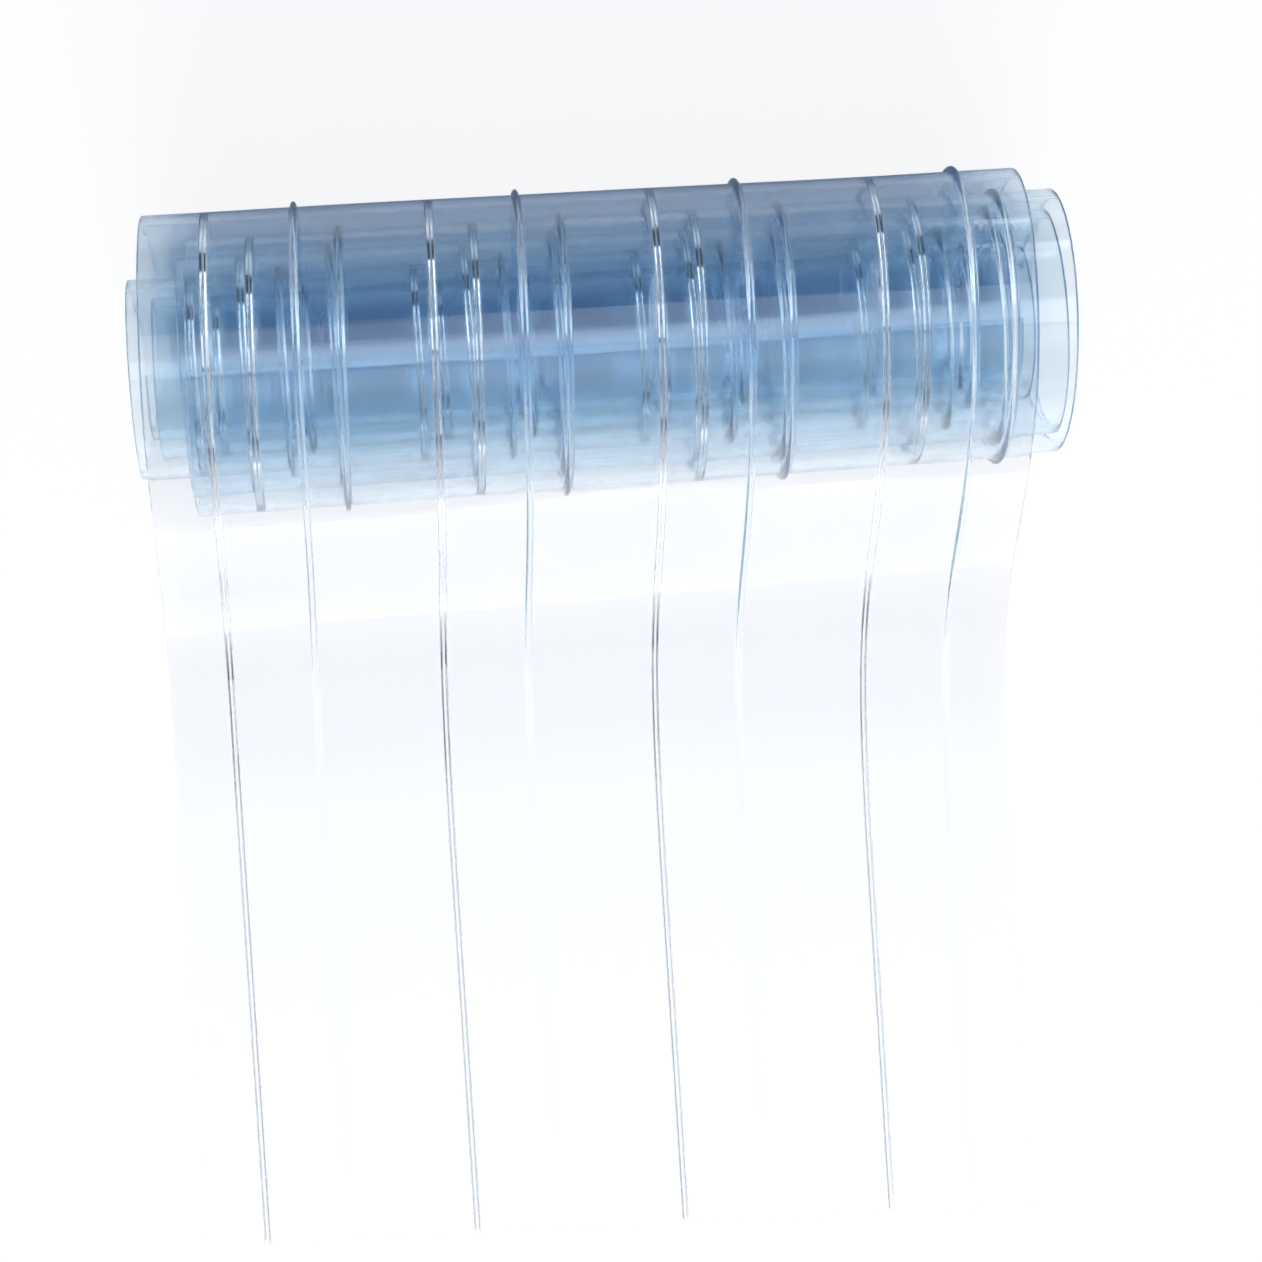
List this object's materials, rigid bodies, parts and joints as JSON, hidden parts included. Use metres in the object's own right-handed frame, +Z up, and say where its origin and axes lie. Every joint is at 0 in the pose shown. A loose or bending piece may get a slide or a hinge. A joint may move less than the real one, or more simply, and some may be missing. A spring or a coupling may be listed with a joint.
{
  "type": "pvc strip curtain roll",
  "caption": "Clear ribbed PVC strip for a strip curtain, wound into a loose roll lying on its side, with its free end laid out flat.",
  "frame": {"origin": "on the floor, in the middle of the bounding box of the roll and its free tail", "axes": "+X along the roll and across the strip, -Y the way the free tail runs, +Z up from the floor"},
  "size_m": [0.214, 0.2494, 0.0721],
  "materials": {
    "wound_clear_pvc": "glossy clear PVC, blue where many layers lie over each other",
    "single_layer_clear_pvc": "glossy clear PVC, almost colourless as a single layer"
  },
  "bodies": {
    "root": {"wound_roll": "wound_clear_pvc", "free_tail": "single_layer_clear_pvc"}
  },
  "joints": []
}
